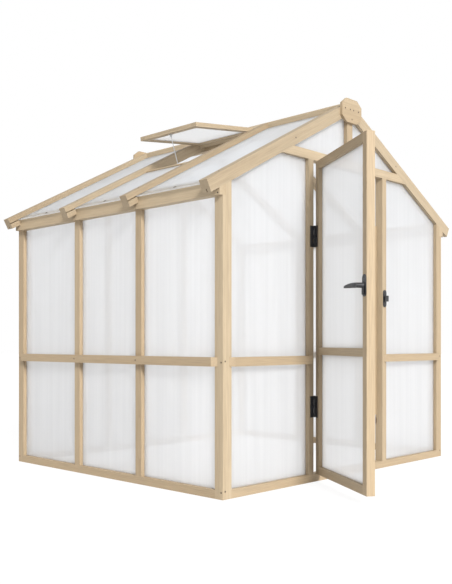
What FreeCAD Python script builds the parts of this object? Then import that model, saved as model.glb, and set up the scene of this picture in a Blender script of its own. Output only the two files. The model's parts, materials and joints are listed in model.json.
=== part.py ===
"""Walk-in greenhouse: a softwood frame glazed with twin-wall sheets, with a hinged door and a roof vent.

Millimetres, +Z up. The origin is the centre of the footprint, on the ground.
The door's gable faces -Y, and the roof vent is in the slope that faces -X.
"""
import FreeCAD, Part
import math
import os

V = FreeCAD.Vector
UP = V(0, 0, 1)
ALONG_X = V(1, 0, 0)
ALONG_Y = V(0, 1, 0)

# House
width = 2000.0           # over the side wall posts
depth = 1740.0           # over the gable posts
roof_pitch = 28.0        # degrees
eaves_height = 1448.0    # underside of the rafters at the outer wall face
eaves_overhang = 104.0   # of the rafter tops, beyond the wall face

# Timber
post_x = 58.0
post_y = 52.0
sill_height = 41.0
sill_thick = 45.0
stud_wide = 46.0
stud_deep = 48.0
side_stud_spacing = 532.0
rail_high = 43.0
rail_bottom = 614.0
rail_proud = 21.0        # of the rails and wall plates, beyond the post faces
rail_lap_corner = 16.0   # of a rail's end over a corner post
rail_lap_door = 25.0     # of a rail's end over a door post
plate_drop = 43.0        # of the wall plates' underside below the eaves height
plate_joint_gap = 5.0    # between the three lengths of a wall plate
header_rise = 228.0      # of the header's underside above the eaves height
header_high = 47.0
king_wide = 50.0
rafter_deep = 62.0
rafter_thick = 50.0
ridge_thick = 40.0
ridge_below = 93.0       # depth of the ridge beam under the roof's apex line
gusset_wide = 180.0
gusset_high = 130.0
gusset_cut_x = 42.0
gusset_cut_z = 32.0
gusset_thick = 15.0
gusset_drop = 57.0       # of the gusset's centre under the apex line

# Sheets
sheet_thick = 6.0
sheet_recess = 22.0      # of the wall sheets behind the post faces
groove_deep = 8.0
groove_side_gap = 0.2    # beside a sheet in its groove
groove_end_gap = 0.5     # beyond a sheet's edge in its groove
rafter_groove_deep = 16.0 # in the undersides of the end rafters
side_sheet_top_gap = 5.0
roof_sheet_drop = 28.0   # of the roof sheets below the rafter tops
roof_sheet_overhang = 10.0 # of a roof sheet beyond the wall plate

# Doorway and door
doorway_wide = 647.0
door_post_wide = 40.0
door_side_gap = 3.0
door_foot_gap = 3.0
door_head_gap = 11.0
door_thick = 40.0
door_stile_wide = 43.0
door_rail_high = 41.0
door_mid_rail_bottom = 662.0
door_mid_rail_high = 38.0
door_sheet_recess = 19.0
door_open_angle = 122.0
stop_wide = 20.0         # of the batten that the closed door meets
stop_long = 1094.0
stop_gap = 0.5           # between the batten and the closed door

# Door hinges
hinge_heights = (392.0, 1276.0)
hinge_high = 110.0
hinge_leaf_wide = 24.0
hinge_leaf_thick = 2.5
hinge_knuckle_radius = 5.5
hinge_knuckle_count = 5
hinge_knuckle_lift = 0.5  # of the knuckles off the wood
hinge_pin_radius = 3.0
hinge_pin_head_radius = 4.8
hinge_pin_head_high = 2.0
hinge_screw_spacing = 36.0
running_gap = 0.05        # round a pin in its bore
knuckle_gap = 0.4         # between a hinge's knuckles

# Door latch
latch_height = 980.0
plate_wide = 40.0
plate_high = 100.0
plate_thick = 4.0
plate_screw_spacing = 74.0
spindle_radius = 5.0
spindle_deep = 20.0       # in the stile
hub_radius = 12.0
tongue_long = 42.0
tongue_wide = 14.0
tongue_thick = 6.0
tongue_clear = 0.6        # between the tongue and the heads of the back plate's screws
lever_long = 135.0
lever_proud = 45.0
lever_thick = 11.0
lever_root_high = 24.0
lever_tip_high = 11.0
keeper_wide = 34.0
keeper_high = 100.0
keeper_base_thick = 3.0
keeper_pocket = 11.0
keeper_lip_thick = 4.0
keeper_wall = 6.0
keeper_housing_high = 34.0
keeper_inset = 4.5        # of the keeper from the doorway's edge
keeper_screw_spacing = 76.0

# Roof vent, measured down the slope from the apex line
vent_start = 94.0
vent_long = 485.0
vent_side_gap = 3.0
vent_hinge_gap = 3.0
vent_frame_thick = 23.5
vent_frame_wide = 38.0
vent_sheet_lift = 6.0     # of the vent's sheet above its frame's underside
vent_open_angle = 21.0
vent_bearing = 13.0       # of the vent's free rail on the trimmer
vent_rail_deep = 44.0
trimmer_wide = 45.0
trimmer_drop = 24.0       # of the trimmer's top below the rafter tops
trimmer_rebate = 10.0
vent_hinge_spread = 300.0
vent_hinge_wide = 60.0
vent_leaf_long = 22.0
vent_leaf_thick = 2.0
vent_knuckle_radius = 4.0
vent_pin_radius = 2.0
vent_knuckle_count = 3

# Vent stay
stay_radius = 2.5
stay_eye_radius = 6.0
stay_eye_thick = 3.0
stay_pin_radius = 2.0
stay_bracket_long = 24.0
stay_bracket_wide = 20.0
stay_bracket_thick = 2.0
stay_ear_thick = 2.0
stay_ear_gap = 0.5
stay_pin_drop = 8.0       # of the stay's pin under the vent's frame
stay_neck_long = 14.0     # of the flat neck between the stay's eye and its rod
stay_foot_radius = 8.0
stay_foot_hole = 5.0
stay_foot_thick = 3.0
stay_foot_clear = 1.0     # of the foot from the trimmer
stay_foot_drop = 24.0     # of the foot's hole under the trimmer's top
peg_radius = 3.0
peg_long = 5.0

# Screws
screw_head_radius = 4.5
screw_head_high = 1.6
screw_shank_radius = 2.0
screw_pilot_gap = 0.1
screw_long = 60.0
gusset_screw_long = 45.0
hardware_screw_long = 22.0
hardware_head_radius = 3.2
rafter_screw_long = 95.0
sheet_screw_long = 34.0
washer_radius = 8.0
washer_thick = 1.2
gable_screw_inset = 16.0  # of the corner screws in the gables from the side faces
side_screw_inset = 11.0   # of the corner screws in the side faces from the gables
corner_screw_stagger = 2.5
sill_screw_height = 35.0
eaves_screw_inset = 13.0  # of the wall plates' screws from the gables
eaves_screw_rise = 9.0    # of the same screws above the plates' underside
sheet_screw_inset = 11.0  # of the roof sheets' screws from the plates' outer faces
gusset_screw_outer = 61.0
gusset_screw_inner = 15.0
gusset_row_drop = 50.0    # of the row of four under the apex line
gusset_low_drop = 102.0   # of the single screw under the apex line
header_screw_inset = 15.0
header_screw_long = 40.0

# Values that follow from the sizes above
half_w = width / 2
half_d = depth / 2
slope = math.radians(roof_pitch)
rise = math.tan(slope)
apex_z = eaves_height + rafter_deep / math.cos(slope) + half_w * rise
rafter_end = (half_w + eaves_overhang) / math.cos(slope)
rail_top = rail_bottom + rail_high
rail_middle = rail_bottom + rail_high / 2
plate_bottom = eaves_height - plate_drop
header_bottom = eaves_height + header_rise
header_top = header_bottom + header_high
ridge_bottom = apex_z - ridge_below
stud_offset = side_stud_spacing / 2
door_post_inner = doorway_wide / 2
door_post_outer = door_post_inner + door_post_wide
sheet_inner = sheet_recess + sheet_thick

nodes = {}


def underside(x):
    """Height of the rafters' underside above a place across the house."""
    return eaves_height + (half_w - abs(x)) * rise


def under_x(z):
    """How far out from the centre the rafters' underside has this height."""
    return half_w - (z - eaves_height) / rise


def roof_line(x, drop):
    """Height of a line that lies drop below the rafter tops, square to the slope."""
    return apex_z - abs(x) * rise - drop / math.cos(slope)


def block(x0, x1, y0, y1, z0, z1):
    return Part.makeBox(x1 - x0, y1 - y0, z1 - z0, V(x0, y0, z0))


def gable_prism(points, y0, y1):
    """An outline in X and Z, carried from y0 to y1."""
    corners = [V(x, y0, z) for x, z in points]
    return Part.Face(Part.makePolygon(corners + corners[:1])).extrude(V(0, y1 - y0, 0))


def plan_prism(points, z0, z1):
    """An outline in X and Y, carried from z0 to z1."""
    corners = [V(x, y, z0) for x, y in points]
    return Part.Face(Part.makePolygon(corners + corners[:1])).extrude(V(0, 0, z1 - z0))


def turned(shape, angle, axis=UP, base=None):
    copy = shape.copy()
    copy.rotate(base or V(0, 0, 0), axis, angle)
    return copy


def half_turn(shape):
    """The same piece on the opposite side of the house."""
    return turned(shape, 180)


def to_rear(shape):
    return shape.mirror(V(0, 0, 0), ALONG_Y)


def to_right(shape):
    return shape.mirror(V(0, 0, 0), ALONG_X)


def on_right_slope(shape):
    """From X down the slope, Y along the house and Z square to the roof, into the right slope."""
    copy = turned(shape, roof_pitch, ALONG_Y)
    copy.translate(V(0, 0, apex_z))
    return copy


def on_left_slope(shape):
    return half_turn(on_right_slope(shape))


def add(name, *solids):
    nodes[name] = list(solids)


def cut_node(name, tools):
    nodes[name] = [solid.cut(tools) for solid in nodes[name]]


# Rafters: four on each slope, butted against the ridge beam
ridge_space = block(-width, ridge_thick / 2, -depth, depth, 0, 2 * apex_z)


def rafter(y_middle, thick):
    timber = block(-rafter_deep, rafter_end, y_middle - thick / 2, y_middle + thick / 2, -rafter_deep, 0)
    return on_right_slope(timber).cut(ridge_space)


end_rafter_y = half_d - post_y / 2
end_rafters = [rafter(side * end_rafter_y, post_y) for side in (-1, 1)]
common_rafters = [rafter(side * stud_offset, rafter_thick) for side in (-1, 1)]
add("right_end_rafters", *end_rafters)
add("right_common_rafters", *common_rafters)
add("left_end_rafters", *[half_turn(piece) for piece in end_rafters])
add("left_common_rafters", *[half_turn(piece) for piece in common_rafters])

# Ridge beam: its top follows both slopes
ridge_shoulder = roof_line(ridge_thick / 2, 0)
ridge_outline = [
    (-ridge_thick / 2, ridge_bottom), (ridge_thick / 2, ridge_bottom), (ridge_thick / 2, ridge_shoulder),
    (0, apex_z), (-ridge_thick / 2, ridge_shoulder)]
add("ridge_beam", gable_prism(ridge_outline, -half_d, half_d))

# Wall plates: three lengths outside the sheets, with the rafters housed in them and the roof sheets on top
plate_outer = half_w + rail_proud
plate_inner = half_w - sheet_recess
roof_sheet_under = roof_sheet_drop + sheet_thick
plate_outline = [
    (plate_inner, plate_bottom), (plate_outer, plate_bottom),
    (plate_outer, roof_line(plate_outer, roof_sheet_under)),
    (plate_inner, roof_line(plate_inner, roof_sheet_under))]
right_plate_space = gable_prism(plate_outline, -half_d, half_d)
plate_spaces = [right_plate_space, half_turn(right_plate_space)]
plate_middle = stud_offset - plate_joint_gap / 2
plate_start = stud_offset + plate_joint_gap / 2
right_plates = []
for y0, y1 in [(-half_d, -plate_start), (-plate_middle, plate_middle), (plate_start, half_d)]:
    right_plates.append(gable_prism(plate_outline, y0, y1).cut(end_rafters + common_rafters))
add("wall_plates", *right_plates, *[half_turn(plate) for plate in right_plates])


# Posts and studs: they run up to the rafters
def upright(x_outer, x_inner, y0, y1, z0):
    """A post at the right side wall whose top follows the rafters' underside."""
    return gable_prism([(x_inner, z0), (x_outer, z0), (x_outer, underside(x_outer)),
                        (x_inner, underside(x_inner))], y0, y1)


rear_right_post = upright(half_w, half_w - post_x, half_d - post_y, half_d, 0)
add("corner_post_rear_right", rear_right_post)
add("corner_post_front_left", half_turn(rear_right_post))
add("corner_post_front_right", to_rear(rear_right_post))
add("corner_post_rear_left", to_right(rear_right_post))
side_studs = []
for side in (-1, 1):
    stud_y = side * stud_offset
    stud = upright(half_w, half_w - stud_deep, stud_y - stud_wide / 2, stud_y + stud_wide / 2, sill_height)
    side_studs += [stud, half_turn(stud)]
add("side_wall_studs", *side_studs)

# Sills: between the corner posts
sill_x = half_w - post_x
sill_y = half_d - post_y
add("front_sill", block(-sill_x, sill_x, -half_d, -half_d + sill_thick, 0, sill_height))
add("rear_sill", block(-sill_x, sill_x, half_d - sill_thick, half_d, 0, sill_height))
right_sill = block(half_w - sill_thick, half_w, -sill_y, sill_y, 0, sill_height)
add("side_sills", half_turn(right_sill), right_sill)

# Gable framing: door posts, header and king post, and the same frame at the rear
gable_back = -half_d + stud_deep
hinge_post = block(-door_post_outer, -door_post_inner, -half_d, gable_back, sill_height, header_bottom)
latch_post = half_turn(to_rear(hinge_post))
add("hinge_post", hinge_post)
add("latch_post", latch_post)
add("rear_wall_studs", to_rear(hinge_post), to_rear(latch_post))
low_x = under_x(header_bottom)
high_x = under_x(header_top)
header_outline = [(-low_x, header_bottom), (low_x, header_bottom),
                  (high_x, header_top), (-high_x, header_top)]
header = gable_prism(header_outline, -half_d, gable_back)
add("door_header", header)
add("rear_tie", to_rear(header))
king = block(-king_wide / 2, king_wide / 2, -half_d, gable_back, header_top, ridge_bottom)
king = king.cut(end_rafters + nodes["left_end_rafters"])
add("king_posts", king, to_rear(king))


# Middle rails: lapped into the posts, with bevelled ends
def rail_outline(start, end):
    """Plan of a rail along X whose post face is at Y = 0 and whose outside is at -Y."""
    return [(start, sheet_recess), (end, sheet_recess), (end, 0), (end - rail_proud, -rail_proud),
            (start + rail_proud, -rail_proud), (start, 0)]


def rail(start, end, face):
    timber = plan_prism(rail_outline(start, end), rail_bottom, rail_top)
    timber.translate(V(0, -face, 0))
    return timber


corner_end = half_w - post_x + rail_lap_corner
door_end = door_post_outer - rail_lap_door
left_front_rail = rail(-corner_end, -door_end, half_d)
rear_rail = half_turn(rail(-corner_end, corner_end, half_d))
side_end = half_d - post_y + rail_lap_corner
right_rail = turned(rail(-side_end, side_end, half_w), 90)
add("front_mid_rails", left_front_rail, to_right(left_front_rail))
add("rear_mid_rail", rear_rail)
add("side_mid_rails", half_turn(right_rail), right_rail)

# Gussets: an eight-sided plate over the rafters and the ridge beam at each gable
gx = gusset_wide / 2
gz = gusset_high / 2
gusset_z = apex_z - gusset_drop
octagon = [(-gx, -gz + gusset_cut_z), (-gx + gusset_cut_x, -gz), (gx - gusset_cut_x, -gz),
           (gx, -gz + gusset_cut_z), (gx, gz - gusset_cut_z), (gx - gusset_cut_x, gz),
           (-gx + gusset_cut_x, gz), (-gx, gz - gusset_cut_z)]
gusset = gable_prism([(x, z + gusset_z) for x, z in octagon], -half_d - gusset_thick, -half_d)
add("ridge_gussets", gusset, to_rear(gusset))


# Wall sheets: each has a slot, which is the groove that its edges sit in
def side_sheet(y0, y1, reach, slack):
    """A sheet of the right side wall between two uprights, its edges reach into their grooves."""
    x0 = half_w - sheet_inner - slack
    x1 = half_w - sheet_recess + slack
    top = underside(half_w - sheet_recess) - side_sheet_top_gap
    return block(x0, x1, y0 - reach, y1 + reach, sill_height - groove_deep, top)


def front_sheet(outline, slack):
    """A sheet of the front gable with this outline."""
    return gable_prism(outline, -half_d + sheet_recess - slack, -half_d + sheet_inner + slack)


def lower_outline(reach):
    """From corner post to door post, under the rafter and the header, on the right."""
    x0 = door_post_outer - reach
    x1 = half_w - post_x + reach
    up = reach / math.cos(slope)
    return [(x0, sill_height - groove_deep), (x1, sill_height - groove_deep), (x1, underside(x1) + up),
            (under_x(header_bottom + reach - up), header_bottom + reach), (x0, header_bottom + reach)]


def gable_outline(reach):
    """Above the header and beside the king post, on the right."""
    x0 = king_wide / 2 - reach
    z0 = header_top - groove_deep
    up = reach / math.cos(slope)
    return [(x0, z0), (under_x(z0 - up), z0), (x0, underside(x0) + up)]


sheet_reach = groove_deep - groove_end_gap
stud_face = stud_offset + stud_wide / 2
stud_inner_face = stud_offset - stud_wide / 2
bays = [(-sill_y, -stud_face), (-stud_inner_face, stud_inner_face), (stud_face, sill_y)]
right_sheets = [side_sheet(y0, y1, sheet_reach, 0) for y0, y1 in bays]
right_slots = [side_sheet(y0, y1, groove_deep, groove_side_gap) for y0, y1 in bays]
add("side_wall_sheets", *right_sheets, *[half_turn(sheet) for sheet in right_sheets])
side_slots = right_slots + [half_turn(slot) for slot in right_slots]

front_right = front_sheet(lower_outline(sheet_reach), 0)
front_right_slot = front_sheet(lower_outline(groove_deep), groove_side_gap)
gable_right = front_sheet(gable_outline(sheet_reach), 0)
gable_right_slot = front_sheet(gable_outline(groove_deep), groove_side_gap)
front_sheets = [front_right, to_right(front_right)]
gable_sheets = [gable_right, to_right(gable_right)]
front_slots = [front_right_slot, to_right(front_right_slot), gable_right_slot, to_right(gable_right_slot)]


def rear_middle_outline(reach):
    x1 = door_post_inner + reach
    z0 = sill_height - groove_deep
    return [(-x1, z0), (x1, z0), (x1, header_bottom + reach), (-x1, header_bottom + reach)]


rear_middle = to_rear(front_sheet(rear_middle_outline(sheet_reach), 0))
rear_slots = [to_rear(slot) for slot in front_slots]
rear_slots.append(to_rear(front_sheet(rear_middle_outline(groove_deep), groove_side_gap)))
add("front_wall_sheets", *front_sheets)
add("rear_wall_sheets", *[to_rear(sheet) for sheet in front_sheets], rear_middle)
add("gable_sheets", *gable_sheets, *[to_rear(sheet) for sheet in gable_sheets])

# Roof sheets: in grooves of the rafters, which run on to the tails, and of the ridge beam
rafter_inner = stud_offset - rafter_thick / 2
rafter_outer = stud_offset + rafter_thick / 2
roof_bays = [(-sill_y, -rafter_outer), (-rafter_inner, rafter_inner), (rafter_outer, sill_y)]
sheet_reach_x = plate_outer + roof_sheet_overhang
sheet_end = (sheet_reach_x + roof_sheet_under * math.sin(slope)) / math.cos(slope)
slot_end = rafter_end + groove_deep
ridge_seat = ridge_thick / 2 - groove_deep
vent_end = vent_start + vent_long
trimmer_start = vent_end - vent_bearing
trimmer_end = trimmer_start + trimmer_wide


def roof_sheet(y0, y1, start, end, reach, slack, seat):
    flat = block(start, end, y0 - reach, y1 + reach, -roof_sheet_under - slack, -roof_sheet_drop + slack)
    return on_right_slope(flat).cut(block(-width, seat, -depth, depth, 0, 2 * apex_z))


sheet_seat = ridge_seat + groove_end_gap
right_roof = [roof_sheet(y0, y1, 0, sheet_end, sheet_reach, 0, sheet_seat) for y0, y1 in roof_bays]
right_roof_slots = [roof_sheet(y0, y1, 0, slot_end, groove_deep, groove_side_gap, ridge_seat)
                    for y0, y1 in roof_bays]
vent_y = roof_bays[1]
low_start = trimmer_end - trimmer_rebate
low_sheet = roof_sheet(*vent_y, low_start + groove_end_gap, sheet_end, sheet_reach, 0, 0)
low_slot = roof_sheet(*vent_y, low_start, slot_end, groove_deep, groove_side_gap, 0)
add("right_roof_sheets", *right_roof)
add("left_roof_sheets", half_turn(right_roof[0]), half_turn(right_roof[2]), half_turn(low_sheet))
left_roof_slots = [half_turn(right_roof_slots[0]), half_turn(right_roof_slots[2]), half_turn(low_slot)]

# Grooves along the undersides of the end rafters, for the gables' sheets
groove_y = (-half_d + sheet_recess - groove_side_gap, -half_d + sheet_inner + groove_side_gap)
groove = block(0, slot_end, *groove_y, -rafter_deep - groove_deep, -rafter_deep + rafter_groove_deep)
groove = on_right_slope(groove).cut(ridge_space)
rafter_grooves = [groove, to_right(groove), to_rear(groove), half_turn(groove)]

# Vent hinge rail under the ridge, and the trimmer that carries the vent's free edge
hinge_rail_end = vent_start - vent_hinge_gap
hinge_rail = block(0, hinge_rail_end, -rafter_inner, rafter_inner, -vent_rail_deep, 0)
add("vent_hinge_rail", half_turn(on_right_slope(hinge_rail).cut(ridge_space)))
trimmer = block(trimmer_start, trimmer_end, -rafter_inner, rafter_inner, -rafter_deep, -trimmer_drop)
rebate_floor = -roof_sheet_under - groove_side_gap
rebate = block(low_start, trimmer_end, -rafter_inner, rafter_inner, rebate_floor, 0)
add("vent_trimmer", on_left_slope(trimmer.cut(rebate)))

# Joints of the timbers: laps for the rails and plates, and grooves for the sheets
posts = ["corner_post_front_left", "corner_post_front_right",
         "corner_post_rear_left", "corner_post_rear_right"]
rails = nodes["front_mid_rails"] + nodes["rear_mid_rail"] + nodes["side_mid_rails"]
for name in posts + ["side_wall_studs", "rear_wall_studs", "hinge_post", "latch_post"]:
    cut_node(name, rails + plate_spaces + side_slots + front_slots + rear_slots)
for name in ["side_sills", "front_sill", "rear_sill", "door_header", "rear_tie", "king_posts"]:
    cut_node(name, side_slots + front_slots + rear_slots)
for name in ["left_end_rafters", "right_end_rafters"]:
    cut_node(name, rafter_grooves + right_roof_slots + left_roof_slots)
for name in ["left_common_rafters", "right_common_rafters"]:
    cut_node(name, right_roof_slots + left_roof_slots)
cut_node("ridge_beam", right_roof_slots + left_roof_slots + front_slots + rear_slots)

# Door, made closed and then swung open about its pins
pin_x = -door_post_inner + door_side_gap / 2
pin_y = -half_d - hinge_knuckle_lift - hinge_knuckle_radius
door_left = -door_post_inner + door_side_gap
door_right = -door_left
door_bottom = sill_height + door_foot_gap
door_top = header_bottom - door_head_gap
door_face = -half_d
door_back = door_face + door_thick
door_mid_rail_top = door_mid_rail_bottom + door_mid_rail_high


def swing(shape):
    return turned(shape, -door_open_angle, UP, V(pin_x, pin_y, 0))


def door_rail(z0, z1):
    return block(door_left + door_stile_wide, door_right - door_stile_wide, door_face, door_back, z0, z1)


def door_sheet(z0, z1, reach, slack):
    return block(door_left + door_stile_wide - reach, door_right - door_stile_wide + reach,
                 door_face + door_sheet_recess - slack, door_face + door_sheet_recess + sheet_thick + slack,
                 z0 - groove_deep, z1 + reach)


def door_stile(x0):
    return block(x0, x0 + door_stile_wide, door_face, door_back, door_bottom, door_top)


door_parts = {
    "door_hinge_stile": door_stile(door_left),
    "door_latch_stile": door_stile(door_right - door_stile_wide),
    "door_top_rail": door_rail(door_top - door_rail_high, door_top),
    "door_mid_rail": door_rail(door_mid_rail_bottom, door_mid_rail_top),
    "door_bottom_rail": door_rail(door_bottom, door_bottom + door_rail_high)}
door_openings = [(door_bottom + door_rail_high, door_mid_rail_bottom),
                 (door_mid_rail_top, door_top - door_rail_high)]
door_slots = [door_sheet(z0, z1, groove_deep, groove_side_gap) for z0, z1 in door_openings]
for name, timber in door_parts.items():
    add(name, timber.cut(door_slots))
add("door_sheets", *[door_sheet(z0, z1, sheet_reach, 0) for z0, z1 in door_openings])

# Door stop: a batten on the latch post, behind the closed door
stop_bottom = (door_bottom + door_top - stop_long) / 2
add("door_stop", block(door_post_inner - stop_wide, door_post_inner, door_back + stop_gap, gable_back,
                       stop_bottom, stop_bottom + stop_long))

# Door hinges: leaves on the faces of the post and the door, with alternating knuckles on a pin
knuckle_high = hinge_high / hinge_knuckle_count
leaf_edge = hinge_knuckle_radius + knuckle_gap
hinge_leaf_end = leaf_edge + hinge_leaf_wide


def hinge_leaf(z_middle, first_knuckle):
    """A leaf on the +X side of its pin, flat on a face that looks towards -Y."""
    z0 = z_middle - hinge_high / 2
    face = door_face - pin_y
    leaf = block(leaf_edge, hinge_leaf_end, face - hinge_leaf_thick, face, z0, z0 + hinge_high)
    for index in range(first_knuckle, hinge_knuckle_count, 2):
        low = z0 + index * knuckle_high + knuckle_gap / 2
        high = low + knuckle_high - knuckle_gap
        knuckle = Part.makeCylinder(hinge_knuckle_radius, high - low, V(0, 0, low))
        tab = block(0, leaf_edge, face - hinge_leaf_thick, face - hinge_knuckle_lift, low, high)
        leaf = leaf.fuse([knuckle, tab])
    bore = Part.makeCylinder(hinge_pin_radius + running_gap, hinge_high, V(0, 0, z0))
    return leaf.cut(bore).removeSplitter()


def hinge_pin(z_middle):
    z0 = z_middle - hinge_high / 2
    pin = Part.makeCylinder(hinge_pin_radius, hinge_high, V(0, 0, z0))
    head_seat = V(0, 0, z0 + hinge_high - knuckle_gap / 2)
    head = Part.makeCylinder(hinge_pin_head_radius, hinge_pin_head_high, head_seat)
    return pin.fuse(head).removeSplitter()


def at_pin(shape):
    copy = shape.copy()
    copy.translate(V(pin_x, pin_y, 0))
    return copy


add("hinge_door_leaves", *[at_pin(hinge_leaf(z, 1)) for z in hinge_heights])
add("hinge_post_leaves", *[at_pin(to_right(hinge_leaf(z, 0))) for z in hinge_heights])
add("hinge_pins", *[at_pin(hinge_pin(z)) for z in hinge_heights])

# Door latch: a back plate and a lever whose tongue turns into the keeper on the latch post
spindle_x = door_right - door_stile_wide / 2
plate_face = door_face - plate_thick
tongue_back = plate_face - screw_head_high - tongue_clear
tongue_face = tongue_back - tongue_thick


def rounded_plate(x_middle, z_middle, wide, high, y0, y1):
    """A plate on a gable face with half-round ends."""
    radius = wide / 2
    straight = high / 2 - radius
    plate = block(x_middle - radius, x_middle + radius, y0, y1, z_middle - straight, z_middle + straight)
    ends = [Part.makeCylinder(radius, y1 - y0, V(x_middle, y0, z_middle + side * straight), ALONG_Y)
            for side in (-1, 1)]
    return plate.fuse(ends).removeSplitter()


def rod_y(radius, x, z, y0, y1):
    return Part.makeCylinder(radius, y1 - y0, V(x, y0, z), ALONG_Y)


back_plate = rounded_plate(spindle_x, latch_height, plate_wide, plate_high, plate_face, door_face)
spindle_end = door_face + spindle_deep
spindle_bore = rod_y(spindle_radius + running_gap, spindle_x, latch_height, plate_face, spindle_end)
add("handle_plate", back_plate.cut(spindle_bore))
cut_node("door_latch_stile", [spindle_bore])

lever_front = door_face - lever_proud
lever_back = lever_front + lever_thick
hub = rod_y(hub_radius, spindle_x, latch_height, lever_front, tongue_back)
spindle = rod_y(spindle_radius, spindle_x, latch_height, lever_back, spindle_end)
root = lever_root_high / 2
tip = lever_tip_high / 2
tip_x = spindle_x - lever_long + tip
arm_low = [V(tip_x, lever_front, latch_height + tip), V(tip_x, lever_front, latch_height - tip),
           V(spindle_x, lever_front, latch_height - root), V(spindle_x, lever_front, latch_height + root)]
arm_crown = V((tip_x + spindle_x) / 2, lever_front, latch_height + root)
arm_top = Part.Arc(arm_low[3], arm_crown, arm_low[0]).toShape()
arm_outline = Part.Wire(Part.makePolygon(arm_low).Edges + [arm_top])
arm = Part.Face(arm_outline).extrude(V(0, lever_thick, 0))
arm_tip = rod_y(tip, tip_x, latch_height, lever_front, lever_back)
tongue_end = latch_height - tongue_long + tongue_wide / 2
tongue = block(spindle_x - tongue_wide / 2, spindle_x + tongue_wide / 2, tongue_face, tongue_back,
               tongue_end, latch_height)
tongue_tip = rod_y(tongue_wide / 2, spindle_x, tongue_end, tongue_face, tongue_back)
lever = hub.fuse([spindle, arm, arm_tip, tongue, tongue_tip]).removeSplitter()
add("handle_lever", lever)

keeper_x0 = door_post_inner + keeper_inset
keeper_x1 = keeper_x0 + keeper_wide
keeper_base = door_face - keeper_base_thick
keeper_front = keeper_base - keeper_pocket - keeper_lip_thick
keeper_x = keeper_x0 + keeper_wide / 2
keeper = rounded_plate(keeper_x, latch_height, keeper_wide, keeper_high, keeper_base, door_face)
housing = block(keeper_x0, keeper_x1, keeper_front, keeper_base,
                latch_height - keeper_housing_high / 2, latch_height + keeper_housing_high / 2)
pocket = block(keeper_x0, keeper_x1 - keeper_wall, keeper_base - keeper_pocket, keeper_base,
               latch_height - keeper_housing_high, latch_height + keeper_housing_high)
add("latch_keeper", keeper.fuse(housing.cut(pocket)).removeSplitter())

# Roof vent, made closed in the slope and then lifted about its pins
vent_pin_s = vent_start - vent_hinge_gap / 2
vent_pin_n = vent_knuckle_radius + knuckle_gap
vent_half = rafter_inner - vent_side_gap
vent_rail_half = vent_half - vent_frame_wide
vent_rails_s = (vent_start + vent_frame_wide, vent_end - vent_frame_wide)


def lift(shape):
    """From the closed place in the slope to the open vent."""
    return on_left_slope(turned(shape, vent_open_angle, V(0, -1, 0), V(vent_pin_s, 0, vent_pin_n)))


def vent_timber(s0, s1, y0, y1):
    return block(s0, s1, y0, y1, -vent_frame_thick, 0)


def vent_sheet(reach, slack):
    low = -vent_frame_thick + vent_sheet_lift
    return block(vent_rails_s[0] - reach, vent_rails_s[1] + reach, -vent_rail_half - reach,
                 vent_rail_half + reach, low - slack, low + sheet_thick + slack)


vent_slot = vent_sheet(groove_deep, groove_side_gap)
vent_side = vent_timber(vent_start, vent_end, vent_rail_half, vent_half)
add("vent_side_rails", vent_side.cut(vent_slot), to_rear(vent_side).cut(vent_slot))
vent_upper = vent_timber(vent_start, vent_rails_s[0], -vent_rail_half, vent_rail_half)
vent_lower = vent_timber(vent_rails_s[1], vent_end, -vent_rail_half, vent_rail_half)
add("vent_hinge_side_rail", vent_upper.cut(vent_slot))
add("vent_free_rail", vent_lower.cut(vent_slot))
add("vent_sheet", vent_sheet(sheet_reach, 0))

# Vent hinges: leaves on the tops of the hinge rail and of the vent
vent_knuckle_high = vent_hinge_wide / vent_knuckle_count
vent_leaf_edge = vent_knuckle_radius + knuckle_gap


def vent_leaf(y_middle, first_knuckle, direction):
    """A leaf that lies on the roof, down the slope of its pin or up it."""
    y0 = y_middle - vent_hinge_wide / 2
    ends = sorted((direction * vent_leaf_edge, direction * (vent_leaf_edge + vent_leaf_long)))
    leaf = block(vent_pin_s + ends[0], vent_pin_s + ends[1], y0, y0 + vent_hinge_wide, 0, vent_leaf_thick)
    tab_s = sorted((vent_pin_s, vent_pin_s + direction * vent_leaf_edge))
    for index in range(first_knuckle, vent_knuckle_count, 2):
        low = y0 + index * vent_knuckle_high + knuckle_gap / 2
        high = low + vent_knuckle_high - knuckle_gap
        knuckle = rod_y(vent_knuckle_radius, vent_pin_s, vent_pin_n, low, high)
        tab = block(*tab_s, low, high, knuckle_gap, vent_leaf_thick)
        leaf = leaf.fuse([knuckle, tab])
    bore = rod_y(vent_pin_radius + running_gap, vent_pin_s, vent_pin_n, y0, y0 + vent_hinge_wide)
    return leaf.cut(bore).removeSplitter()


vent_hinge_y = [-vent_hinge_spread / 2, vent_hinge_spread / 2]
vent_pin_half = vent_hinge_wide / 2
vent_pins = [rod_y(vent_pin_radius, vent_pin_s, vent_pin_n, y - vent_pin_half, y + vent_pin_half)
             for y in vent_hinge_y]
add("vent_fixed_leaves", *[on_left_slope(vent_leaf(y, 0, -1)) for y in vent_hinge_y])
add("vent_moving_leaves", *[vent_leaf(y, 1, 1) for y in vent_hinge_y])
add("vent_hinge_pins", *[on_left_slope(pin) for pin in vent_pins])

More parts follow.
